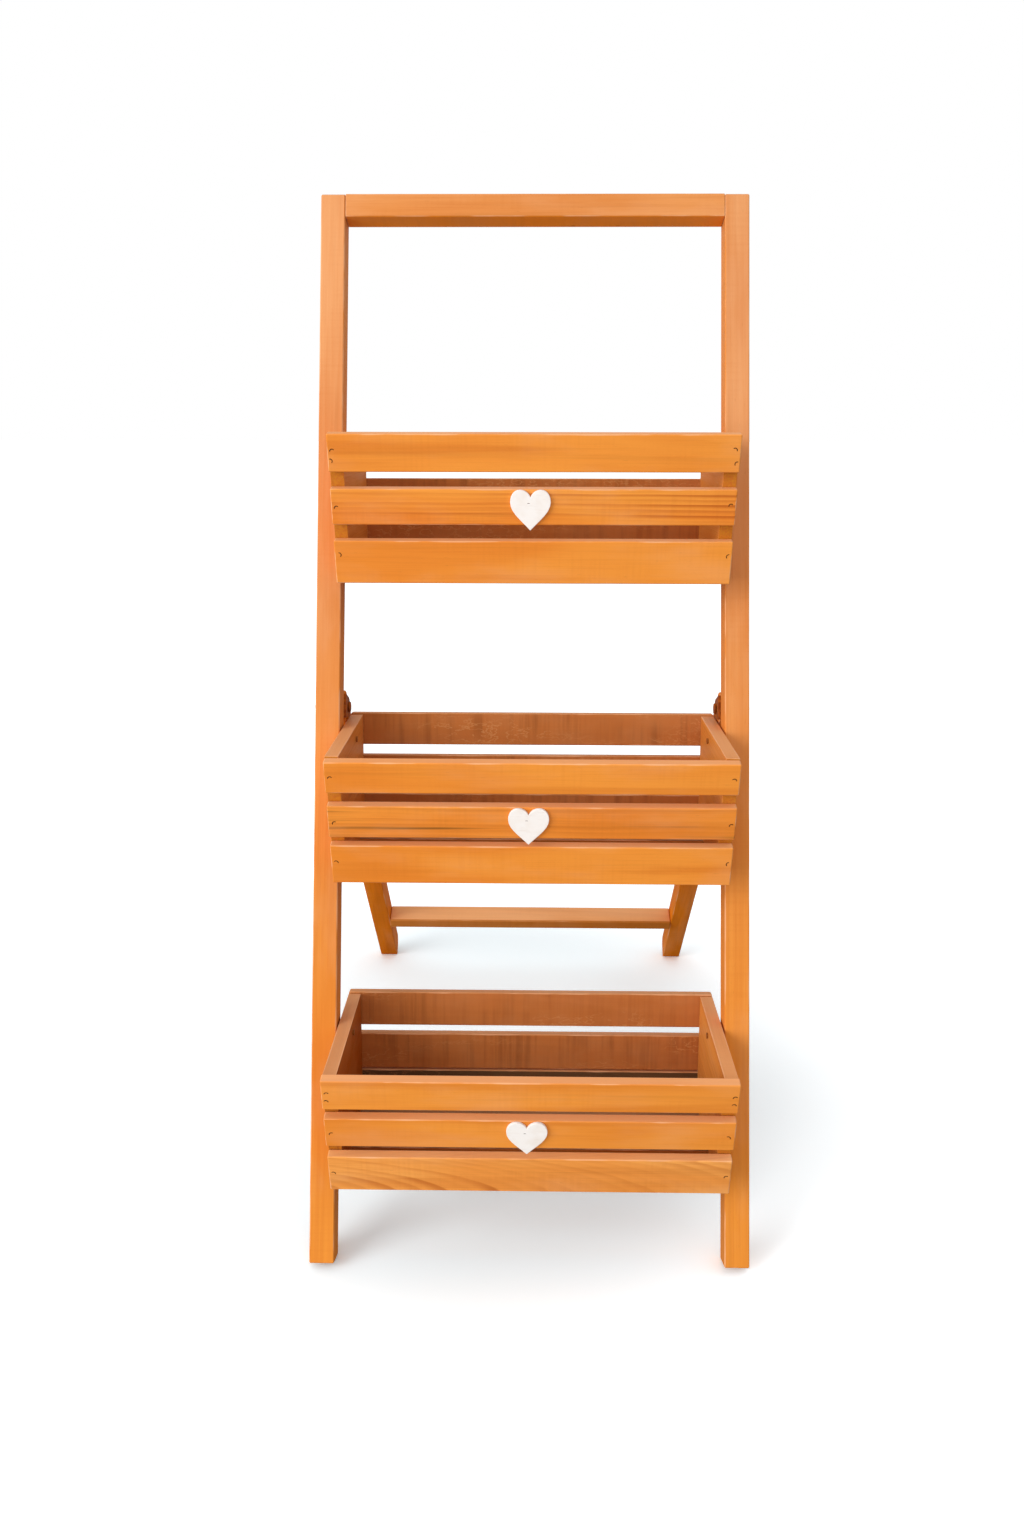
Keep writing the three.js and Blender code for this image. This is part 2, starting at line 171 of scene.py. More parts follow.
class Figure(Enum):
    """Patterns of a board: features per metre along the grain and across it, and detail."""

    FIBRE = (14, 650, 3.0)  # 70 mm long; real fibres are too fine to show, so these are 1.5 mm wide
    BLOTCH = (3.5, 16, 2.0)  # patches where the stain took deeper, 290 by 60 mm
    STREAK = (2.2, 95, 3.0)  # dark mineral streaks, 450 by 10 mm
    BAND = (1.6, 40, 2.0)  # bands of deeper timber, 600 by 25 mm
    FADE = (4, 14, 2.0)  # stretches of 250 by 70 mm in which the rings show more or less
    TOOTH = (300, 9, 1.0)  # marks of the saw's teeth, 3 mm apart along the board
    TOOTH_PATCH = (9, 30, 2.0)  # patches of 110 by 33 mm that kept these marks
    CLOUD = (9, 26, 3.0)  # pale clouds, 110 by 38 mm
    FLECK = (110, 750, 1.0)  # specks, 9 by 1.3 mm
    PORE = (500, 500, 2.0)  # mottling of end grain, 2 mm
    RUB = (22, 60, 2.0)  # places where the pale strip along an arris, rubbed stain and painted highlight, is wider; 45 mm long
    BEND = (2.4, 9, 2.0)  # slow wander of the rings, 420 by 110 mm
    RIPPLE = (11, 60, 2.0)  # quick waves in the rings, 90 by 17 mm
    CURL = (55, 130, 3.0)  # curls of raised fibre, 18 by 8 mm
    CURL_PATCH = (6, 24, 2.0)  # patches of curls, 170 by 42 mm
    CUT = (120, 5, 3.0)  # lines left by the saw, 8 mm apart
    CUT_ZONE = (7, 12, 2.0)  # parts of 140 by 83 mm that kept these lines
    MOTTLE = (16, 20, 3.0)  # mottled stain, 60 by 50 mm

    def drawn(self, s: NodeSheet, log: object) -> bpy.types.Node:
        """Draw the pattern over the log's coordinates."""
        along, across, detail = self.value
        return s.mottle(log, (along, across, across), detail)

    def mask(self, s: NodeSheet, log: object, low: float, high: float, least: float = 0.0,
             most: float = 1.0) -> bpy.types.Node:
        """Draw the pattern as a mask with smooth edges.

        Args:
            s: The sheet.
            log: The log's coordinates.
            low: Level of the pattern at which the mask starts to rise.
            high: Level at which it is full.
            least: The mask below the low level.
            most: The mask above the high level.

        Returns:
            The mask.
        """
        return s.add("MapRange.SMOOTHSTEP", self.drawn(s, log), low, high, least, most)


@dataclass(frozen=True)
class StainedPine:
    """Softwood, planed or sawn, under a translucent honey stain, drawn in the board's own directions.

    The stain lets rings and fibres tell through and turns them orange. The mesh carries "grain" (metres
    along, across and through the board from its centre), "half" (half its sizes), "seed", "end" (1 on end
    grain), "sawn_or_shaded" (1 on a face with the raw tone: a sawn face, or a face in shade that gets
    painted shade) and "top" (how far a face looks up, which gets a painted sheen of the light from above).

    Attributes:
        name: The material's name.
        pale: Stain over early wood.
        deep: Stain where it took deeper.
        late: Late wood, the dark line of each ring.
        dark: Mineral streaks and flecks.
        end: End grain.
        raw: The tone of a raw face: of a sawn face, or painted shade on a face that lies in shade.
        pale_wear_and_sheen: A pale tone: wood where the stain is rubbed thin, pale clouds, the painted sheen
        on faces that look up, and the painted highlight along arrises.
        ring: Millimetres between two rings.
        ring_depth: Strength of the rings.
        pith: Where the middle of the log is, in millimetres across and through from the board's centre.
        taper: How far the board runs off the log's axis, for each unit of its length.
        warp: How far the rings wander, in millimetres.
        streaks: Strength of the streaks.
        saw: Strength of the saw teeth's marks.
        cuts: Strength of the dark lines across a raw face.
        scuffs: Strength of the pale curls on a raw face.
        raw_share: How far the raw tone covers the stain.
        rosy: How far the colour turns rosy towards the upper end.
        bands: Strength of the bands.
        gloss: Specular level of the stain's film.
        knots: Each knot's place along and across the board and its radius, in millimetres.
    """

    name: str
    pale: str = "#F29A38"
    deep: str = "#E88828"
    late: str = "#CC6A16"
    dark: str = "#7A4614"
    end: str = "#C07A12"
    raw: str = "#BF703B"
    pale_wear_and_sheen: str = "#F4B888"
    ring: float = 4.0
    ring_depth: float = 0.35
    pith: tuple[float, float] = (34.0, 30.0)
    taper: float = 0.02
    warp: float = 6.0
    streaks: float = 0.1
    saw: float = 0.02
    cuts: float = 0.3
    scuffs: float = 0.6
    raw_share: float = 0.72
    rosy: float = 0.0
    bands: float = 0.3
    gloss: float = 0.2
    knots: tuple[Number3, ...] = ()

    ROSE = ("#EAA46E", "#E0925C")
    KNOT_TONE = "#6B3712"
    CUT_TONE = "#6E3A18"
    MOTTLE_TONE = "#C98A58"
    CURL_TONE = "#D6965C"
    LOG_STEP = (3.1, 1.7, 2.3)

    def material(self) -> bpy.types.Material:
        """Build the node tree.

        Returns:
            The material.
        """
        s = NodeSheet(bpy.data.materials.new(self.name))
        read = {name: s.add("Attribute.GEOMETRY", attribute_name=name)
                for name in ("grain", "half", "seed", "sawn_or_shaded", "top", "end")}
        place, half = (read[name].outputs["Vector"] for name in ("grain", "half"))
        seed, sawn_or_shaded, top, end = (read[name].outputs["Fac"] for name in ("seed", "sawn_or_shaded", "top", "end"))
        log = s.add("VectorMath.ADD", place, s.add("VectorMath.SCALE", self.LOG_STEP, seed))
        axis = s.add("SeparateXYZ", place)
        knot = self.knot_mask(s, place)
        rings = self.growth(s, log, axis, seed, knot)
        fibre = Figure.FIBRE.drawn(s, log)
        tooth = Figure.TOOTH.drawn(s, log)
        blotch = Figure.BLOTCH.mask(s, log, 0.36, 0.66)
        colour = self.timber(s, log, axis, rings, blotch)
        colour = self.surface(s, log, colour, fibre, tooth)
        # Painted sheen: faces that look up turn towards the pale tone, for the light from above that they
        # catch.
        painted_top_sheen = s.add("Math.MULTIPLY", top, s.add("MapRange.SMOOTHSTEP", blotch, 0.0, 1.0, 0.6, 0.4))
        pore = Figure.PORE.mask(s, log, 0.3, 0.7)
        colour = s.lay(colour, (knot, linear(self.KNOT_TONE)))
        colour = s.lay(
            colour,
            # Raw faces: a darker stain on sawn faces, painted shade on faces that lie in shade.
            (sawn_or_shaded, self.sawn_or_shaded_face(s, log, colour)),
            (painted_top_sheen, linear(self.pale_wear_and_sheen)),
            # Pale arrises: partly rubbed stain, partly a painted highlight.
            (s.add("Math.MULTIPLY", self.arris_wear_and_highlight(s, half, place, log), 0.75), linear(self.pale_wear_and_sheen)),
            (s.add("Math.MULTIPLY", end, 0.7), s.lay(linear(self.end), (pore, linear(self.late)))),
        )
        ring_height = s.add("Math.MULTIPLY", rings, 0.35)
        height = s.add("Math.ADD", ring_height, s.add("Math.MULTIPLY", fibre, 0.8))
        tooth_height = s.add("Math.MULTIPLY", s.add("Math.MULTIPLY", tooth, sawn_or_shaded), 1.6)
        height = s.add("Math.ADD", height, tooth_height)
        bump = s.add("Bump", inputs={"Height": height, "Strength": 0.5, "Distance": 0.25 * MM})
        satin = s.add("MapRange.SMOOTHSTEP", fibre, 0.3, 0.8, 0.4, 0.52)
        rough = s.add("Math.ADD", satin, s.add("Math.MULTIPLY", sawn_or_shaded, 0.2))
        shader = s.add("BsdfPrincipled", inputs={"Base Color": colour, "Roughness": rough, "Normal": bump,
                                                 "IOR": 1.5, "Specular IOR Level": self.gloss})
        s.add("OutputMaterial", shader)
        return s.owner

    def timber(self, s: NodeSheet, log: object, axis: bpy.types.Node, rings: object,
               blotch: object) -> object:
        """Colour the wood itself: stain over early and late wood, with bands and streaks.

        Args:
            s: The sheet.
            log: The log's coordinates.
            axis: The board's coordinates, apart.
            rings: The rings' mask.
            blotch: The mask of the deeper stain.

        Returns:
            The colour.
        """
        colour = s.lay(linear(self.pale), (blotch, linear(self.deep)))
        if self.rosy:
            light, dusk = (linear(code) for code in self.ROSE)
            high = s.add("MapRange.SMOOTHSTEP", axis.outputs["X"], -0.4, 0.45, 0.0, self.rosy)
            colour = s.lay(colour, (high, s.lay(light, (blotch, dusk))))
        band = s.add("Math.MULTIPLY", Figure.BAND.mask(s, log, 0.52, 0.64), self.bands)
        line = s.add("Math.MULTIPLY", rings, Figure.FADE.mask(s, log, 0.36, 0.6, 0.25, 1.0))
        streak = s.add("Math.MULTIPLY", Figure.STREAK.mask(s, log, 0.56, 0.72), self.streaks)
        return s.lay(
            colour,
            (band, s.lay(linear(self.deep), (0.5, linear(self.late)))),
            (s.add("Math.MULTIPLY", line, self.ring_depth), linear(self.late)),
            (streak, linear(self.dark)),
        )

    def surface(self, s: NodeSheet, log: object, colour: object, fibre: object, tooth: object) -> object:
        """Add what tools and stain left on every face: teeth's marks, fibres, clouds and flecks.

        Args:
            s: The sheet.
            log: The log's coordinates.
            colour: The timber's colour.
            fibre: The fibres' pattern.
            tooth: The pattern of the teeth's marks.

        Returns:
            The colour.
        """
        kept = s.add("Math.MULTIPLY", Figure.TOOTH_PATCH.mask(s, log, 0.4, 0.62), self.saw * 4)
        marks = s.add("Math.MULTIPLY", s.add("MapRange.SMOOTHSTEP", tooth, 0.4, 0.7), kept)
        return s.lay(
            colour,
            (marks, linear(self.late)),
            (s.add("MapRange.SMOOTHSTEP", fibre, 0.42, 0.72, 0.0, 0.16), linear(self.late)),
            (Figure.CLOUD.mask(s, log, 0.45, 0.75, 0.0, 0.18), linear(self.pale_wear_and_sheen)),
            (Figure.FLECK.mask(s, log, 0.72, 0.8, 0.0, 0.14), linear(self.dark)),
        )

    def knot_mask(self, s: NodeSheet, place: object) -> object:
        """Draw each knot as an oval, drawn out along the grain.

        Args:
            s: The sheet.
            place: The board's coordinates.

        Returns:
            The knots' mask.
        """
        longer = 2.2
        total: object = 0.0
        for along, across, radius in self.knots:
            size = (1 / (radius * longer * MM), 1 / (radius * MM), 0.0)
            away = s.add("VectorMath.SUBTRACT", place, (along * MM, across * MM, 0))
            far = s.add("VectorMath.LENGTH", s.add("VectorMath.MULTIPLY", away, size))
            total = s.add("Math.MAXIMUM", total, s.add("MapRange.SMOOTHSTEP", far, 1.15, 0.55))
        return total

    def growth(self, s: NodeSheet, log: object, axis: bpy.types.Node, seed: object, knot: object) -> object:
        """Draw the growth rings as they cut the board: by distance from the pith, bent by slow noise.

        Args:
            s: The sheet.
            log: The log's coordinates.
            axis: The board's coordinates, apart.
            seed: The board's seed.
            knot: The knots' mask, which pushes the rings aside.

        Returns:
            The rings' mask, 1 in late wood.
        """
        bend, ripple = (s.add("Math.MULTIPLY", s.add("Math.SUBTRACT", figure.drawn(s, log), 0.5), reach * MM)
                        for figure, reach in ((Figure.BEND, self.warp * 2),
                                              (Figure.RIPPLE, self.warp * 0.25)))
        slide = s.add("Math.MULTIPLY", axis.outputs["X"], self.taper)
        turn = s.add("Math.MULTIPLY", s.add("Math.SINE", s.add("Math.MULTIPLY", seed, 7.7)), 6 * MM)
        across = s.add("Math.ADD", s.add("Math.ADD", axis.outputs["Y"], self.pith[0] * MM), turn)
        deep = s.add("Math.ADD", s.add("Math.ADD", axis.outputs["Z"], self.pith[1] * MM), slide)
        squared = s.add("Math.ADD", *(s.add("Math.MULTIPLY", way, way) for way in (across, deep)))
        radius = s.add("Math.SQRT", squared)
        for change in (bend, ripple, s.add("Math.MULTIPLY", knot, 4 * MM)):
            radius = s.add("Math.ADD", radius, change)
        phase = s.add("Math.DIVIDE", radius, self.ring * MM)
        part = s.add("Math.FRACT", phase)
        line = s.add("Math.MULTIPLY", *(s.add("MapRange.SMOOTHSTEP", part, *ends)
                                        for ends in ((0.1, 0.8), (1.0, 0.84))))
        which = s.add("TexWhiteNoise.1D", s.add("Math.FLOOR", phase))
        return s.add("Math.MULTIPLY", line, s.add("MapRange.SMOOTHSTEP", which, 0.0, 1.0, 0.15, 1.0))

    def sawn_or_shaded_face(self, s: NodeSheet, log: object, colour: object) -> object:
        """Colour a raw face, sawn or in shade: the raw tone (a darker stain where sawn, painted shade where
        in shade), the saw's lines, and pale curls of raised fibre.

        Args:
            s: The sheet.
            log: The log's coordinates.
            colour: The colour of the other faces.

        Returns:
            The colour.
        """
        away = s.add("Math.SUBTRACT", Figure.CURL.drawn(s, log), 0.5)
        curl = s.add("MapRange.SMOOTHSTEP", s.add("Math.ABSOLUTE", away), 0.028, 0.004)
        curls = s.add("Math.MULTIPLY", curl, Figure.CURL_PATCH.mask(s, log, 0.44, 0.6))
        zone = Figure.CUT_ZONE.mask(s, log, 0.42, 0.6, 0.15, 1.0)
        cut = Figure.CUT.mask(s, log, 0.42, 0.7, 0.0, self.cuts)
        return s.lay(
            colour,
            (self.raw_share, linear(self.raw)),
            (s.add("Math.MULTIPLY", cut, zone), linear(self.CUT_TONE)),
            (Figure.MOTTLE.mask(s, log, 0.4, 0.75, 0.0, 1.0 - self.raw_share), linear(self.MOTTLE_TONE)),
            (s.add("Math.MULTIPLY", curls, self.scuffs), linear(self.CURL_TONE)),
        )

    def arris_wear_and_highlight(self, s: NodeSheet, half: object, place: object, log: object) -> object:
        """Mark the arrises: partly where handling has rubbed the stain thin, partly a painted highlight for
        the light that they catch.

        Args:
            s: The sheet.
            half: Half the board's sizes.
            place: The board's coordinates.
            log: The log's coordinates.

        Returns:
            The mask of a strip of 0.4 to 1.9 mm along each arris.
        """
        size = s.add("VectorMath.ABSOLUTE", place)
        a, b, c = s.add("SeparateXYZ", s.add("VectorMath.SUBTRACT", half, size)).outputs
        low, high = s.add("Math.MINIMUM", a, b), s.add("Math.MAXIMUM", a, b)
        near = s.add("Math.MAXIMUM", low, s.add("Math.MINIMUM", high, c))
        width = Figure.RUB.mask(s, log, 0.35, 0.75, 0.4 * MM, 1.9 * MM)
        return s.add("MapRange.SMOOTHSTEP", s.add("Math.DIVIDE", near, width), 1.0, 0.35)


@dataclass(frozen=True)
class PaintedWood:
    """Thin plywood under brushed chalk paint: dull off-white, with the grain just telling through."""

    name: str = "white_painted_wood"
    paint: str = "#FFFAF5"
    shade: str = "#F6ECE2"
    thin: str = "#E6D6C8"

    def material(self) -> bpy.types.Material:
        """Build the node tree.

        Returns:
            The material.
        """
        s = NodeSheet(bpy.data.materials.new(self.name))
        place = s.add("TexCoord").outputs["Object"]
        fibre = s.mottle(place, (60, 600, 420), 3.0)  # lines of grain about 2 mm wide
        cloud = s.mottle(place, (55, 55, 55))  # uneven paint, 18 mm
        colour = s.lay(
            linear(self.paint),
            (s.add("MapRange.SMOOTHSTEP", cloud, 0.42, 0.75, 0.0, 0.7), linear(self.shade)),
            (s.add("MapRange.SMOOTHSTEP", fibre, 0.55, 0.8, 0.0, 0.35), linear(self.thin)),
        )
        bump = s.add("Bump", inputs={"Height": fibre, "Strength": 0.35, "Distance": 0.15 * MM})
        rough = s.add("MapRange.SMOOTHSTEP", cloud, 0.3, 0.7, 0.5, 0.66)
        shader = s.add("BsdfPrincipled", inputs={"Base Color": colour, "Roughness": rough, "Normal": bump,
                                                 "IOR": 1.45, "Specular IOR Level": 0.3})
        s.add("OutputMaterial", shader)
        return s.owner


@dataclass(frozen=True)
class BronzedSteel:
    """Pressed steel with a thin bronzed plating: brown, dull, with brighter scratches and dark grime."""

    name: str = "bronzed_steel"
    plating: str = "#BC661A"
    rubbed: str = "#D08A3C"
    grime: str = "#7E3808"
    metal: float = 0.15

    def material(self) -> bpy.types.Material:
        """Build the node tree.

        Returns:
            The material.
        """
        s = NodeSheet(bpy.data.materials.new(self.name))
        place = s.add("TexCoord").outputs["Object"]
        cloud = s.mottle(place, (140, 140, 140), 3.0)  # patches of grime, 7 mm
        scratch = s.mottle(place, (90, 1500, 1500))  # scratches 11 mm long, 0.7 mm wide so that they show
        colour = s.lay(
            linear(self.grime),
            (s.add("MapRange.SMOOTHSTEP", cloud, 0.35, 0.7), linear(self.plating)),
            (s.add("MapRange.SMOOTHSTEP", scratch, 0.6, 0.8, 0.0, 0.5), linear(self.rubbed)),
        )
        height = s.add("Math.ADD", cloud, s.add("Math.MULTIPLY", scratch, 0.4))
        bump = s.add("Bump", inputs={"Height": height, "Strength": 0.3, "Distance": 0.1 * MM})
        rough = s.add("MapRange.SMOOTHSTEP", cloud, 0.3, 0.75, 0.42, 0.62)
        shader = s.add("BsdfPrincipled", inputs={"Base Color": colour, "Metallic": self.metal, "Normal": bump,
                                                 "Specular IOR Level": 0.15, "Roughness": rough})
        s.add("OutputMaterial", shader)
        return s.owner


# Screw heads inside the crates: brushed over with the boards' stain, so they hardly stand out.
STAINED_OVER = BronzedSteel("stained_over_screw", "#B87236", "#C88648", "#94561F", 0.1)
# Staples: bare wire that has rusted to a dull dark brown.
RUSTED_WIRE = BronzedSteel("rusted_staple_wire", "#5A3212", "#7A4A20", "#2E1808", 0.3)


class Look(Enum):
    """The boards' finishes: one stain, over timber cut from different parts of the log."""

    # Stiles: quiet straight grain, rosier towards the top, and browner on the sides that face the crates:
    # painted shade.
    STILE = StainedPine("stained_pine_stile", pale="#EC9232", deep="#E08228", late="#CC6A1C", ring=6.5,
                        ring_depth=0.18, pith=(9, 46), taper=0.012, warp=7, rosy=0.85, bands=0.25,
                        gloss=0.08, raw="#E68A34", cuts=0.05, scuffs=0.03)
    # Top rail: pale, with three small knots and a deep orange underside: painted shade.
    RAIL = StainedPine("stained_pine_rail", pale="#EA9C5A", deep="#E08C48", late="#C4641E", ring=5.5,
                       ring_depth=0.16, pith=(5, 40), raw="#F88C00", cuts=0.08, scuffs=0.03, bands=0.2,
                       gloss=0.05, knots=((42, -9, 1.6), (91, -9, 1.5), (-60, 5, 0.7)))
    # Most front slats: flat-sawn near the bark, so nearly without rings.
    PLAIN = StainedPine("stained_pine_plain_slat", pale="#F69B3A", deep="#EC8A2C", ring=7.0,
                        ring_depth=0.14, pith=(4, 52), warp=8, bands=0.5)
    # One front slat with strong, even, straight lines: cut towards the heart.
    STRAIGHT = StainedPine("stained_pine_straight_slat", pale="#F89E3C", deep="#EC8428", late="#B8560E",
                           ring=4.8, ring_depth=0.8, pith=(62, 22), taper=0.03, warp=6, streaks=0.2,
                           bands=0.4)
    # One front slat with long brown mineral streaks.
    STREAKED = StainedPine("stained_pine_streaked_slat", pale="#F6993A", deep="#EA852A", late="#B8641A",
                           ring=5.5, dark="#6A4A16", ring_depth=0.35, pith=(48, 26), warp=7, streaks=0.9,
                           bands=0.4)
    # The lowest front slat: cut on a slant to the log, so its rings run out in long flames.
    CATHEDRAL = StainedPine("stained_pine_flame_slat", pale="#FFB25A", deep="#F69C44", late="#BC5E18",
                            ring=3.6, ring_depth=0.9, pith=(26, 70), taper=0.14, warp=6, streaks=0.1,
                            bands=0.3)
    # Side boards: quiet grain and a matt film.
    SIDE = StainedPine("stained_pine_side_board", pale="#EC9A48", deep="#DE8638", late="#B45E18", ring=6.0,
                       ring_depth=0.2, pith=(6, 44), bands=0.3, gloss=0.05)
    # Back slats: rough from the saw inside, with dark lines and pale curls of fibre.
    SHADE = StainedPine("stained_pine_shade", pale="#D88840", deep="#C4722E", late="#96501A", ring=4.8,
                        ring_depth=0.35, pith=(12, 38), saw=0.1, cuts=0.36, gloss=0.05)
    # A side board whose inner face gets painted shade, a deep red-brown.
    DARK_SIDE = StainedPine("stained_pine_dark_side_board", pale="#D88840", deep="#C4722E", late="#96501A",
                            ring=4.8, ring_depth=0.35, pith=(12, 38), saw=0.1, raw="#A64D00", cuts=0.1,
                            scuffs=0.05, gloss=0.05)
    # Rear legs: a deep saturated orange, painted shade for the shade they stand in behind the crates.
    LEG = StainedPine("stained_pine_leg", pale="#F38712", deep="#E3770E", late="#AE5606", ring=5.0,
                      ring_depth=0.3, pith=(12, 40), warp=6, gloss=0.02)
    # Stretcher: a painted sheen on its top, and painted shade on its front face, a deep brown.
    STRETCHER = StainedPine("stained_pine_stretcher", pale="#F2A45C", deep="#E4924A", late="#B46420",
                            ring=5.0, ring_depth=0.25, pith=(8, 36), raw="#A85A00", cuts=0.1, scuffs=0.05,
                            gloss=0.03)
    # Floor boards and the lowest back slat: dark grey-brown on their inner faces.
    SOILED = StainedPine("stained_pine_dark_inside", pale="#D88840", deep="#C4722E", late="#96501A",
                         ring=4.2, ring_depth=0.5, pith=(20, 34), raw="#50402C", cuts=0.1, scuffs=0.2,
                         raw_share=0.92, gloss=0.05)


Finish = Look | StainedPine | PaintedWood | BronzedSteel


class Workshop:
    """Makes each finish once and hands out its material."""

    made: dict[str, bpy.types.Material] = {}

    @classmethod
    def material(cls, finish: Finish) -> bpy.types.Material:
        """Give a finish's material, building it the first time.

        Args:
            finish: The finish, or the look that names it.

        Returns:
            The material.
        """
        finish = finish.value if isinstance(finish, Look) else finish
        if finish.name not in cls.made:
            cls.made[finish.name] = finish.material()
        return cls.made[finish.name]


def eased_copy(node: str, ease: float) -> tuple[bmesh.types.BMesh, Vector, Vector]:
    """Copy a CAD node's mesh and round its sharp edges.

    Args:
        node: The CAD node's name.
        ease: Width of the rounding, in millimetres.

    Returns:
        The mesh, the direction of its longest edge and the normal of its largest face along that edge.
    """
    mesh = bmesh.new()
    mesh.from_mesh(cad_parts[node].data)
    bmesh.ops.remove_doubles(mesh, verts=mesh.verts, dist=MERGE)
    bmesh.ops.dissolve_limit(mesh, angle_limit=FLAT, verts=mesh.verts, edges=mesh.edges)
    longest = max(mesh.edges, key=lambda e: e.calc_length())
    along = (longest.verts[1].co - longest.verts[0].co).normalized()
    broad = max(mesh.faces, key=lambda f: f.calc_area() if abs(f.normal.dot(along)) < ALONGSIDE else 0.0)
    normal = broad.normal.copy()
    sharp = [e for e in mesh.edges if len(e.link_faces) == 2 and e.calc_face_angle() > SHARP]
    bmesh.ops.bevel(mesh, geom=sharp, affect="EDGES", offset=ease * MM, segments=BEVEL_STEPS, profile=0.5,
                    material=-1, clamp_overlap=True)
    bmesh.ops.remove_doubles(mesh, verts=mesh.verts, dist=BEVEL_MERGE)
    bmesh.ops.recalc_face_normals(mesh, faces=mesh.faces)
    return mesh, along, normal


def piece_from(mesh: bmesh.types.BMesh, name: str, finish: Finish, body: str) -> bpy.types.Object:
    """Turn a bmesh into a piece that rides on a body.

    Args:
        mesh: The shape, in the row frame.
        name: The piece's name.
        finish: What colours it.
        body: The CAD body that it moves with.

    Returns:
        The piece.
    """
    data = bpy.data.meshes.new(name)
    mesh.to_mesh(data)
    mesh.free()
    data.materials.append(Workshop.material(finish))
    for face in data.polygons:
        face.use_smooth = True
    piece = bpy.data.objects.new(name, data)
    bpy.context.scene.collection.objects.link(piece)
    crisp = piece.modifiers.new("flat_faces_stay_flat", "WEIGHTED_NORMAL")
    crisp.weight = FLAT_WEIGHT
    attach(piece, body)
    LOG.info("%s: %d faces on %s", name, len(data.polygons), body)
    return piece


def dress(node: str, ending: str, ease: float, finish: Finish) -> None:
    """Give a small CAD node of the front frame eased edges and its finish.

    Args:
        node: The CAD node's name.
        ending: What the piece's name adds to it.
        ease: Width of the rounding, in millimetres.
        finish: What colours it.
    """
    mesh, _, _ = eased_copy(node, ease)
    piece = piece_from(mesh, node + ending, finish, FRONT_BODY)
    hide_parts(node)


def face_box(node: str, toward: int) -> tuple[Vector, Vector, Vector, Vector]:
    """Find the broad face of a CAD node that looks forwards or backwards.

    Args:
        node: The CAD node's name.
        toward: TO_FRONT or TO_REAR.

    Returns:
        The face's lower left corner, the steps to its right and upper edges, and its normal.
    """
    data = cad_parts[node].data
    broad = max(data.polygons, key=lambda f: (f.normal.y * toward > FACING) * f.area)
    out = broad.normal.copy()
    rise = Vector((1, 0, 0)).cross(out)
    rise = -rise if rise.z < 0 else rise
    level = data.vertices[broad.vertices[0]].co.dot(out)
    plane = [v.co for v in data.vertices if abs(level - v.co.dot(out)) < IN_PLANE]
    low, high = min(p.dot(rise) for p in plane), max(p.dot(rise) for p in plane)
    left, right = min(p.x for p in plane), max(p.x for p in plane)
    corner = Vector((left, 0, 0)) + rise * low + out * level
    return corner, Vector((right - left, 0, 0)), rise * (high - low), out


@dataclass
class Board:
    """One board: the CAD node's shape with rounded arrises and its grain directions.

    Attributes:
        node: The CAD node it replaces.
        look: Its timber.
        body: The body it rides on.
        seed: Where in the log it was cut.
        slot: Its material slot; not used.
        inward: Direction that its raw face looks, if it has one: a sawn face, or a face in shade that gets
        painted shade.
        ease: Width of the rounding along its arrises, in millimetres.
    """

    node: str
    look: Look
    body: str
    seed: float
    slot: Slot = Slot.PINE
    inward: Vector | None = None
    ease: float = 0.5

    def build(self) -> None:
        """Make the piece and write its grain on the mesh."""
        mesh, along, normal = eased_copy(self.node, self.ease)
        if along.x < -0.5 or along.z < -0.5:
            along = -along
        normal = (normal - along * normal.dot(along)).normalized()
        if normal.y > 0.5:
            normal = -normal
        across = normal.cross(along)
        if across.z < 0:
            across = -across
        axes = (along, across, normal)
        spans = [[v.co.dot(axis) for v in mesh.verts] for axis in axes]
        middle = [(max(s) + min(s)) / 2 for s in spans]
        half = [(max(s) - min(s)) / 2 for s in spans]
        grain = [v.co.dot(axis) - m for v in mesh.verts for axis, m in zip(axes, middle)]
        ends = [float(abs(f.normal.dot(along)) > END_GRAIN) for f in mesh.faces]
        # The face that looks inward gets the raw tone: sawn, or in shade with painted shade.
        sawn_or_shaded = [float(self.inward is not None and f.normal.dot(self.inward) > FACING) for f in mesh.faces]
        # How far each face looks up, for the painted sheen of the light from above.
        top_facing_sheen = [max(f.normal.z, 0.0) ** 3 for f in mesh.faces]
        count = len(mesh.verts)
        piece = piece_from(mesh, self.node + "_board", self.look, self.body)
        for name, kind, domain, key, values in (
            ("grain", "FLOAT_VECTOR", "POINT", "vector", grain),
            ("half", "FLOAT_VECTOR", "POINT", "vector", half * count),
            ("seed", "FLOAT", "POINT", "value", [self.seed] * count),
            ("end", "FLOAT", "FACE", "value", ends),
            ("sawn_or_shaded", "FLOAT", "FACE", "value", sawn_or_shaded),
            ("top", "FLOAT", "FACE", "value", top_facing_sheen),
        ):
            piece.data.attributes.new(name, kind, domain).data.foreach_set(key, values)
        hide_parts(self.node)


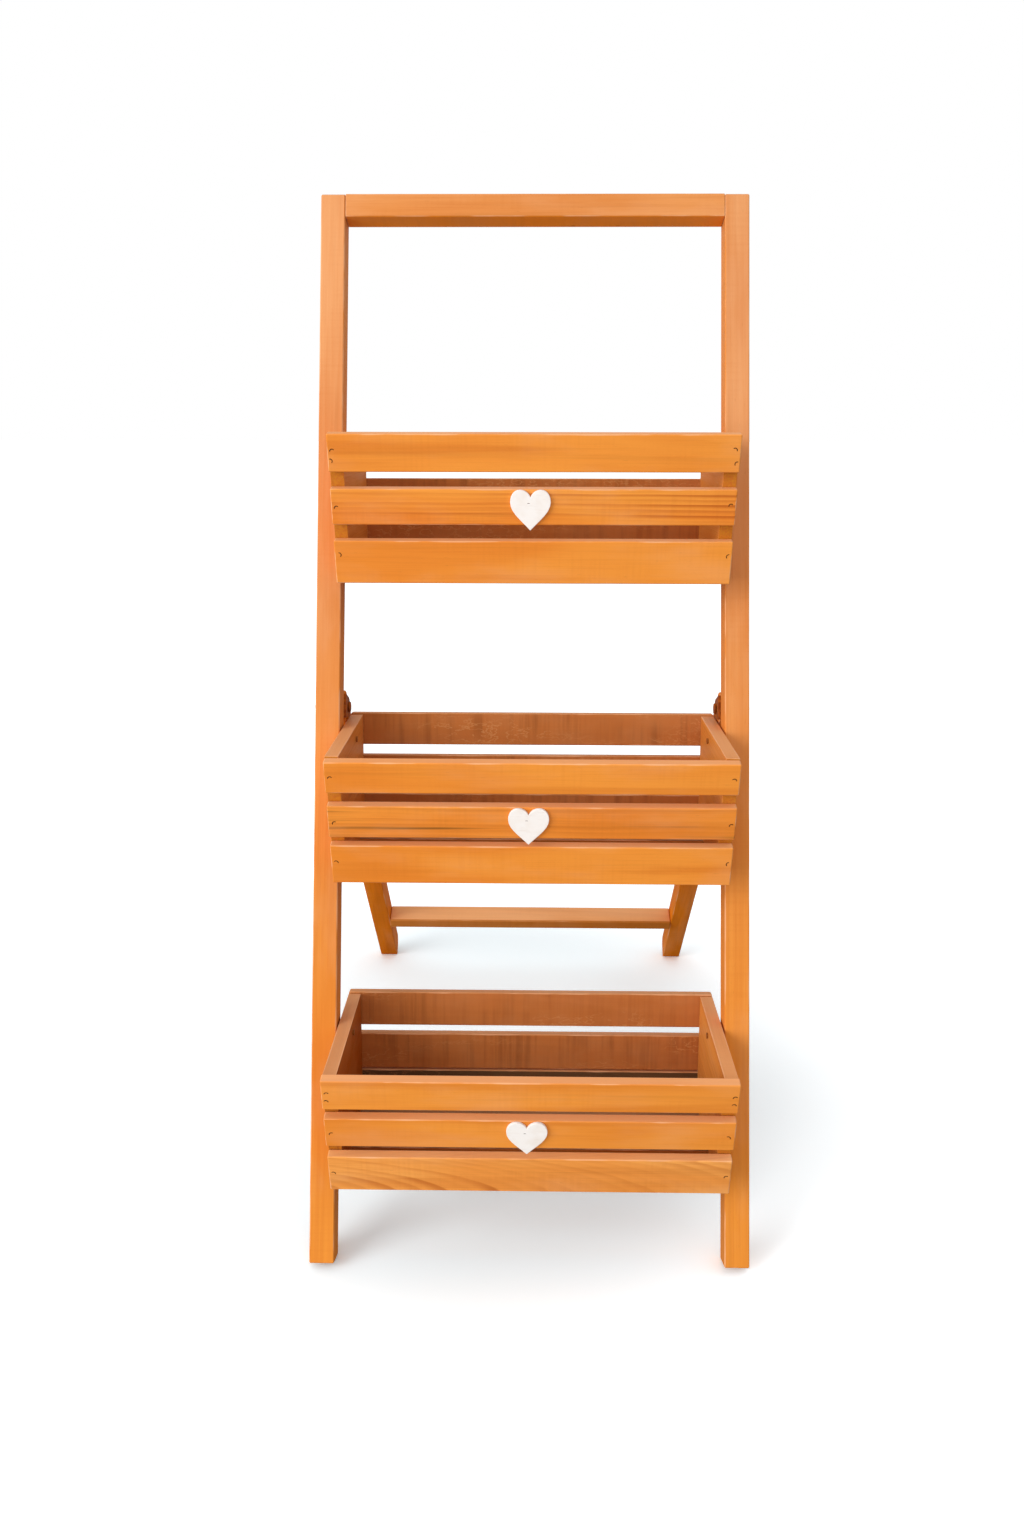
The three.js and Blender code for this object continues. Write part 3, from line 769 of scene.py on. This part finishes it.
@dataclass
class FrontFrame:
    """The two leaning stiles and the rail across their tops.

    Attributes:
        seed: Where in the log the left stile was cut.
        seed_step: How much further the right one was.
        rail_seed: Where the rail was cut.
        stile_ease: Rounding of the stiles' arrises, in millimetres.
        rail_ease: Rounding of the rail's.
        rail_under: Direction that the rail's underside looks; that face gets painted shade.
    """

    seed: float = 1.3
    seed_step: float = 2.1
    rail_seed: float = 5.2
    stile_ease: float = 0.7
    rail_ease: float = 0.6
    rail_under: Number3 = (0, -0.358, -0.934)

    def build(self) -> None:
        """Make the boards; each stile's raw face looks at the other stile."""
        # Each stile's inner side, in the crates' shade, gets the raw tone as painted shade.
        for index, side in enumerate(Side):
            inward = Vector((1 - 2 * index, 0, 0))
            Board(f"stile_{side.value}", Look.STILE, FRONT_BODY, self.seed + index * self.seed_step,
                  inward=inward, ease=self.stile_ease).build()
        Board("top_rail", Look.RAIL, FRONT_BODY, self.rail_seed, inward=Vector(self.rail_under),
              ease=self.rail_ease).build()


@dataclass
class RearFrame:
    """The two hinged legs and their stretcher.

    Attributes:
        seed: Where in the log the left leg was cut.
        seed_step: How much further the right one was.
        stretcher_seed: Where the stretcher was cut.
        ease: Rounding of the arrises, in millimetres.
    """

    seed: float = 6.4
    seed_step: float = 1.7
    stretcher_seed: float = 9.1
    ease: float = 0.6

    def build(self) -> None:
        """Make the boards; the stretcher's raw face looks to the front."""
        for index, side in enumerate(Side):
            Board(f"rear_leg_{side.value}", Look.LEG, REAR_BODY, self.seed + index * self.seed_step,
                  ease=self.ease).build()
        # The stretcher's raw face, to the front, gets painted shade.
        Board("stretcher", Look.STRETCHER, REAR_BODY, self.stretcher_seed, inward=Vector((0, -1, 0)),
              ease=self.ease).build()


@dataclass
class PivotHardware:
    """The fork brackets with their bolts, nuts and plate screws.

    Attributes:
        finish: What they are plated with.
        eases: Rounding of the edges of each kind of part, in millimetres.
        screw_radius: Radius of a plate screw's head, in millimetres.
        screw_down: How far it sits below the upper end of the plate, in millimetres.
    """

    finish: BronzedSteel = field(default_factory=BronzedSteel)
    eases: tuple[tuple[str, float], ...] = (("fork_bracket", 0.3), ("pivot_bolt", 0.3), ("pivot_nut", 0.4))
    screw_radius: float = 3.0
    screw_down: float = 7.0

    def build(self) -> None:
        """Ease and plate each metal node, then set the plate screws."""
        for side in Side:
            for part, ease in self.eases:
                dress(f"{part}_{side.value}", "_plated", ease, self.finish)
            self.plate_screw(side)

    def plate_screw(self, side: Side) -> None:
        """Set a round-headed screw near the upper end of a bracket's plate, clear of the folded leg.

        Args:
            side: The bracket's side.
        """
        mesh = bmesh.new()
        corner, right, up, out = face_box(f"fork_bracket_{side.value}", TO_REAR)
        middle = corner + right / 2 + up - up.normalized() * self.screw_down * MM
        round_head(mesh, middle, out, self.screw_radius * MM)
        piece_from(mesh, f"fork_bracket_screw_{side.value}", self.finish, FRONT_BODY)


def round_head(mesh: bmesh.types.BMesh, centre: Vector, out: Vector, radius: float) -> None:
    """Add a low domed screw head with a round recess.

    Args:
        mesh: The mesh that gets it.
        centre: Its middle, on the surface that it is screwed to.
        out: The surface's normal.
        radius: The head's radius.
    """
    sunk, rim = 0.2 * MM, 0.5 * MM
    dome = ((0.25, 0.25), (0.25, 0.12), (0.2, 0.0))  # steps inwards, of the radius, and up, in millimetres
    recess = (0.02, -0.4)
    place = Matrix.Translation(centre - out * sunk) @ out.to_track_quat("Z", "Y").to_matrix().to_4x4()
    ring = bmesh.ops.create_circle(mesh, cap_ends=True, segments=20, radius=radius, matrix=place)["verts"]
    made = bmesh.ops.extrude_face_region(mesh, geom=list(ring[0].link_faces))["geom"]
    bmesh.ops.translate(mesh, vec=out * rim, verts=[v for v in made if isinstance(v, bmesh.types.BMVert)])
    top = [f for f in made if isinstance(f, bmesh.types.BMFace)]
    for inward, rise in (*dome, recess):
        bmesh.ops.inset_region(mesh, faces=top, thickness=inward * radius, depth=rise * MM)
    bmesh.ops.holes_fill(mesh, edges=[e for e in mesh.edges if e.is_boundary])
    bmesh.ops.recalc_face_normals(mesh, faces=mesh.faces)


@dataclass(frozen=True)
class Staple:
    """A staple in a front slat.

    Attributes:
        slat: The slat's number, from the top.
        inset: Millimetres from the slat's left end or, if negative, from its right end.
        height: Its height, as part of the slat's.
        turn: Its turn from level, in degrees.
    """

    slat: int
    inset: float
    height: float
    turn: float


@dataclass
class Crate:
    """One slatted crate with its screws, staples and painted heart.

    Attributes:
        level: The crate's name in the CAD model.
        fronts: The timber of each front slat, from the top.
        seed: Where in the log its boards were cut.
        staples: The staples of its front slats.
        last_back: The timber of the lowest back slat.
        left_side: The timber of the left side board; DARK_SIDE paints shade on its inner face.
        seed_step: How much further in the log each next board was cut.
        floor_step: How much further than its back slat each floor board was.
        screw_ease: Rounding of the screws' edges, in millimetres.
        heart_ease: Rounding of the heart's edges.
        wire: Radius of a slat staple's wire, and of the heart staple's, in millimetres.
        bend: How far each half of these staples is bent round, in degrees.
        heart_staple: Where the heart's staple sits: millimetres left of its middle, and part of its height.
    """

    level: str
    fronts: tuple[Look, Look, Look]
    seed: float
    staples: tuple[Staple, ...]
    last_back: Look = Look.SHADE
    left_side: Look = Look.SIDE
    seed_step: float = 1.37
    floor_step: float = 0.6
    screw_ease: float = 0.35
    heart_ease: float = 0.5
    wire: tuple[float, float] = (0.5, 0.3)
    bend: tuple[float, float] = (100, 50)
    heart_staple: tuple[float, float] = (2, 0.68)

    def build(self) -> None:
        """Make the crate's boards and screws, then its heart and its staples."""
        seed = self.seed
        for side in Side:
            seed += self.seed_step
            look = self.left_side if side is Side.LEFT else Look.SIDE
            # Only the dark side board has a raw face: painted shade on its inner side.
            inward = Vector((1, 0, 0)) if look is Look.DARK_SIDE else None
            Board(f"{self.level}_crate_side_{side.value}", look, FRONT_BODY, seed, Slot.SHADE, inward).build()
            for height in ("upper", "lower"):
                dress(f"{self.level}_crate_screw_{side.value}_{height}", "_plated", self.screw_ease,
                      STAINED_OVER)
        for number, look in enumerate(self.fronts, 1):
            seed += self.seed_step
            Board(f"{self.level}_crate_front_slat_{number}", look, FRONT_BODY, seed, Slot.PINE,
                  Vector((0, 1, 0))).build()
        for number, look in enumerate((Look.SHADE, Look.SHADE, self.last_back), 1):
            seed += self.seed_step
            Board(f"{self.level}_crate_back_slat_{number}", look, FRONT_BODY, seed, Slot.SHADE,
                  Vector((0, -1, 0))).build()
            Board(f"{self.level}_crate_floor_board_{number}", Look.SOILED, FRONT_BODY,
                  seed + self.floor_step, Slot.SHADE, Vector((0, 0, 1))).build()
        dress(f"{self.level}_crate_heart", "_painted", self.heart_ease, PaintedWood())
        self.fix_staples()

    def fix_staples(self) -> None:
        """Set the staples into the faces of the front slats and the heart, as one piece."""
        mesh = bmesh.new()
        for staple in self.staples:
            corner, right, up, out = face_box(f"{self.level}_crate_front_slat_{staple.slat}", TO_FRONT)
            along = right.normalized()
            reach = staple.inset * MM if staple.inset > 0 else right.length + staple.inset * MM
            turned = Matrix.Rotation(math.radians(staple.turn), 3, out) @ along
            middle = corner + along * reach + up * staple.height
            crown_staple(mesh, middle, turned, out, self.wire[0] * MM, self.bend[0])
        corner, right, up, out = face_box(f"{self.level}_crate_heart", TO_FRONT)
        aside, height = self.heart_staple
        middle = corner + right / 2 - along * aside * MM + up * height
        crown_staple(mesh, middle, along, out, self.wire[1] * MM, self.bend[1])
        piece_from(mesh, f"{self.level}_crate_staples", RUSTED_WIRE, FRONT_BODY)


def crown_staple(mesh: bmesh.types.BMesh, centre: Vector, along: Vector, out: Vector, wire: float,
                 turn: float) -> None:
    """Add a staple's crown: round wire knocked to a shallow arc, its ends sunk in the wood.

    Args:
        mesh: The mesh that gets it.
        centre: The middle of the crown, on the face.
        along: The crown's direction.
        out: The face's normal.
        wire: The wire's radius.
        turn: How far each half is bent round, in degrees.
    """
    bend, half_turn = 2.2 * MM, math.radians(turn)
    sunk, straight, dip = 0.15 * MM, 0.55, 4 * MM
    up = out.cross(along)
    pivot = centre - up * bend
    start = up * math.cos(half_turn) - along * math.sin(half_turn)
    tangent = along * math.cos(half_turn) + up * math.sin(half_turn)
    place = Matrix.Translation(pivot + start * bend) @ Matrix((out, start, tangent)).transposed().to_4x4()
    circle = bmesh.ops.create_circle(mesh, cap_ends=False, segments=8, radius=wire, matrix=place)["verts"]
    before = set(mesh.verts) - set(circle)
    edges = list(dict.fromkeys(e for v in circle for e in v.link_edges))
    bmesh.ops.spin(mesh, geom=circle + edges, cent=pivot, axis=out, dvec=(0, 0, 0), angle=-2 * half_turn,
                   steps=7)
    for vertex in set(mesh.verts) - before:
        share = (vertex.co - pivot).angle(up) / half_turn
        vertex.co -= out * (sunk + max(share - straight, 0.0) ** 2 * dip)
    bmesh.ops.holes_fill(mesh, edges=[e for e in mesh.edges if e.is_boundary])
    bmesh.ops.recalc_face_normals(mesh, faces=mesh.faces)


@dataclass(frozen=True)
class PhotoCamera:
    """The photograph's viewpoint.

    Attributes:
        place: Where the camera stands, in metres.
        yaw: Its turn to the right of +Y, in radians.
        pitch: How far it looks down.
        roll: Its turn about its own axis.
        lens: Focal length, in millimetres.
        sensor: Width of the sensor, in millimetres.
    """

    place: Number3 = (-0.001908, -1.346807, 0.909565)
    yaw: float = -0.01576
    pitch: float = 0.33552
    roll: float = 0.00059
    lens: float = 27.92
    sensor: float = 36.0

    def build(self) -> None:
        """Set the scene's camera."""
        data = bpy.data.cameras.new("photo_camera")
        data.lens = self.lens
        data.sensor_width = self.sensor
        data.sensor_fit = "AUTO"
        data.clip_start = 0.01
        data.clip_end = 50.0
        level = math.cos(self.pitch)
        forward = Vector((math.sin(self.yaw) * level, math.cos(self.yaw) * level, -math.sin(self.pitch)))
        right = Vector((math.cos(self.yaw), -math.sin(self.yaw), 0))
        up = right.cross(forward)
        c, s = math.cos(self.roll), math.sin(self.roll)
        tilted_right, tilted_up = right * c + up * s, up * c - right * s
        turn = Matrix((tilted_right, tilted_up, -forward)).transposed()
        camera = bpy.data.objects.new("photo_camera", data)
        camera.matrix_world = Matrix.Translation(Vector(self.place)) @ turn.to_4x4()
        bpy.context.scene.collection.objects.link(camera)
        bpy.context.scene.camera = camera


@dataclass(frozen=True)
class Studio:
    """A white room: even sky, a broad key from the front left, and a pale floor.

    Attributes:
        sky: Strength of the sky as light.
        key: The key lamp's power, in watts.
        key_place: Where it hangs.
        key_size: Its side, in metres.
        fill: The fill lamp's power.
        fill_place: Where it hangs.
        fill_size: Its side.
        aim: What both lamps look at.
        floor_shade: How pale the floor is to the light that it returns.
        floor_near: How the camera sees the floor under the stand; its cool tint is painted light that takes
        the warm bounce out of the shadow.
        floor_far: How it sees the floor further off.
        floor_middle: The middle of the near floor, left of the stand, so that painted light fades the
        shadow to the right.
        floor_fade: Distances from there, in metres, at which near turns to far.
        floor_reach: Half the floor's side.
        floor_drop: How far the floor lies below the feet.
    """

    sky: float = 0.73
    key: float = 158.0
    key_place: Number3 = (-3.7, -3.0, 1.9)
    key_size: float = 3.0
    fill: float = 9.0
    fill_place: Number3 = (-0.3, -2.8, 0.7)
    fill_size: float = 1.8
    aim: Number3 = (0, 0, 0.5)
    floor_shade: float = 0.4
    floor_near: Number4 = (1.13, 1.24, 1.285, 1.0)
    floor_far: Number4 = (1.52, 1.6, 1.64, 1.0)
    floor_middle: Number3 = (-0.15, 0.05, 0)
    floor_fade: tuple[float, float] = (0.36, 0.66)
    floor_reach: float = 12.0
    floor_drop: float = 0.0005

    def build(self) -> None:
        """Make the world, the lamps and the floor."""
        world = bpy.data.worlds.new("studio_sky")
        bpy.context.scene.world = world
        s = NodeSheet(world)
        seen = s.add("LightPath").outputs["Is Camera Ray"]
        strength = s.add("MapRange", seen, 0.0, 1.0, self.sky, 1.0)
        s.add("OutputWorld", s.add("Background", (1, 1, 1, 1), strength))
        self.lamp("key_softbox", self.key_place, self.key, self.key_size)
        self.lamp("front_fill", self.fill_place, self.fill, self.fill_size)
        self.floor()

    def lamp(self, name: str, place: Number3, power: float, size: float) -> None:
        """Hang a square softbox that looks at the middle of the stand.

        Args:
            name: The lamp's name.
            place: Where it hangs.
            power: Its power, in watts.
            size: Its side, in metres.
        """
        data = bpy.data.lights.new(name, "AREA")
        data.energy = power
        data.size = size
        lamp = bpy.data.objects.new(name, data)
        spot = Vector(place)
        look = (spot - Vector(self.aim)).to_track_quat("Z", "Y").to_matrix()
        lamp.matrix_world = Matrix.Translation(spot) @ look.to_4x4()
        bpy.context.scene.collection.objects.link(lamp)

    def floor(self) -> None:
        """Lay the floor: white to the camera apart from the shadow, pale to the light that it returns."""
        s = NodeSheet(bpy.data.materials.new("studio_floor"))
        path = s.add("LightPath").outputs["Is Camera Ray"]
        place = s.add("TexCoord").outputs["Object"]
        dull = s.add("MapRange.SMOOTHSTEP", s.mottle(place, (40, 40, 40)), 0.3, 0.7,
                     self.floor_shade - 0.01, self.floor_shade + 0.01)
        # Painted light: to the camera the floor turns brighter away from this point, left of the stand, which
        # fades the lamp's shadow to the right.
        away = s.add("VectorMath.DISTANCE", place, self.floor_middle)
        far = s.add("MapRange.SMOOTHSTEP", away, *self.floor_fade)
        seen = s.lay(self.floor_near, (far, self.floor_far))
        s.add("OutputMaterial", s.add("BsdfDiffuse", s.lay(dull, (path, seen))))
        mesh = bmesh.new()
        bmesh.ops.create_grid(mesh, x_segments=1, y_segments=1, size=self.floor_reach)
        data = bpy.data.meshes.new("studio_floor")
        mesh.to_mesh(data)
        mesh.free()
        data.materials.append(s.owner)
        floor = bpy.data.objects.new("studio_floor", data)
        floor.location.z = -self.floor_drop
        bpy.context.scene.collection.objects.link(floor)


CRATES = (
    Crate("top", (Look.PLAIN, Look.STRAIGHT, Look.PLAIN), 20.0,
          (Staple(1, 3.3, 0.61, 20), Staple(1, 3.4, 0.31, -60), Staple(2, 3.4, 0.52, 30),
           Staple(3, 5.8, 0.70, -70), Staple(1, -4.0, 0.65, -35), Staple(1, -3.8, 0.26, 50),
           Staple(2, -5.5, 0.61, 25), Staple(3, -4.6, 0.69, 60))),
    Crate("middle", (Look.PLAIN, Look.STREAKED, Look.PLAIN), 34.0,
          (Staple(1, 4.2, 0.55, 15), Staple(2, 4.4, 0.5, 40), Staple(3, 5.0, 0.6, -25),
           Staple(1, -4.2, 0.55, -20), Staple(2, -4.6, 0.5, 30), Staple(3, -4.8, 0.6, 65))),
    Crate("bottom", (Look.PLAIN, Look.PLAIN, Look.CATHEDRAL), 48.0,
          (Staple(1, 4.0, 0.62, 10), Staple(1, 4.0, 0.33, -15), Staple(2, 4.4, 0.5, 35),
           Staple(3, 4.8, 0.55, -30), Staple(1, -4.2, 0.61, 20), Staple(1, -3.6, 0.33, -10),
           Staple(2, -4.8, 0.5, -40), Staple(3, -4.8, 0.55, 30)),
          last_back=Look.SOILED, left_side=Look.DARK_SIDE),
)


def main() -> None:
    """Build the camera, the studio and each sub-assembly in turn."""
    logging.basicConfig(level=logging.INFO, format="%(name)s: %(message)s")
    bpy.context.scene.view_settings.view_transform = "Standard"
    for part in (PhotoCamera(), Studio(), FrontFrame(), RearFrame(), PivotHardware(), *CRATES):
        part.build()


if __name__ == "__main__":
    main()
